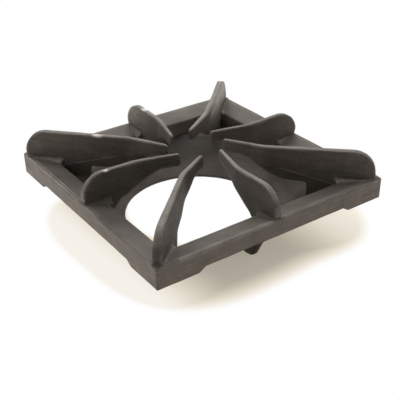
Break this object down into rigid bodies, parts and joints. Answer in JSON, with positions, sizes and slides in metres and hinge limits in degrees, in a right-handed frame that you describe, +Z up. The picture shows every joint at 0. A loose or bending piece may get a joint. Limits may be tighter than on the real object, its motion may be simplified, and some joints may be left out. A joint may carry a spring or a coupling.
{
  "type": "hob pan support",
  "caption": "Square cast-iron hob pan support: upright fins, bent aside at their inner ends, stand on a frame with a conical bowl below that is open over the burner.",
  "frame": {"origin": "centre of the bounding box at the feet of the ribs, on the axis of the burner hole", "axes": "+Z up, +X and +Y at right angles to the sides of the frame"},
  "size_m": [0.305, 0.305, 0.1005],
  "materials": {
    "casting": "matt as-cast iron with a fine grain, paler where the upper edges are worn"
  },
  "bodies": {
    "root": {"pan_support": "casting"}
  },
  "joints": []
}
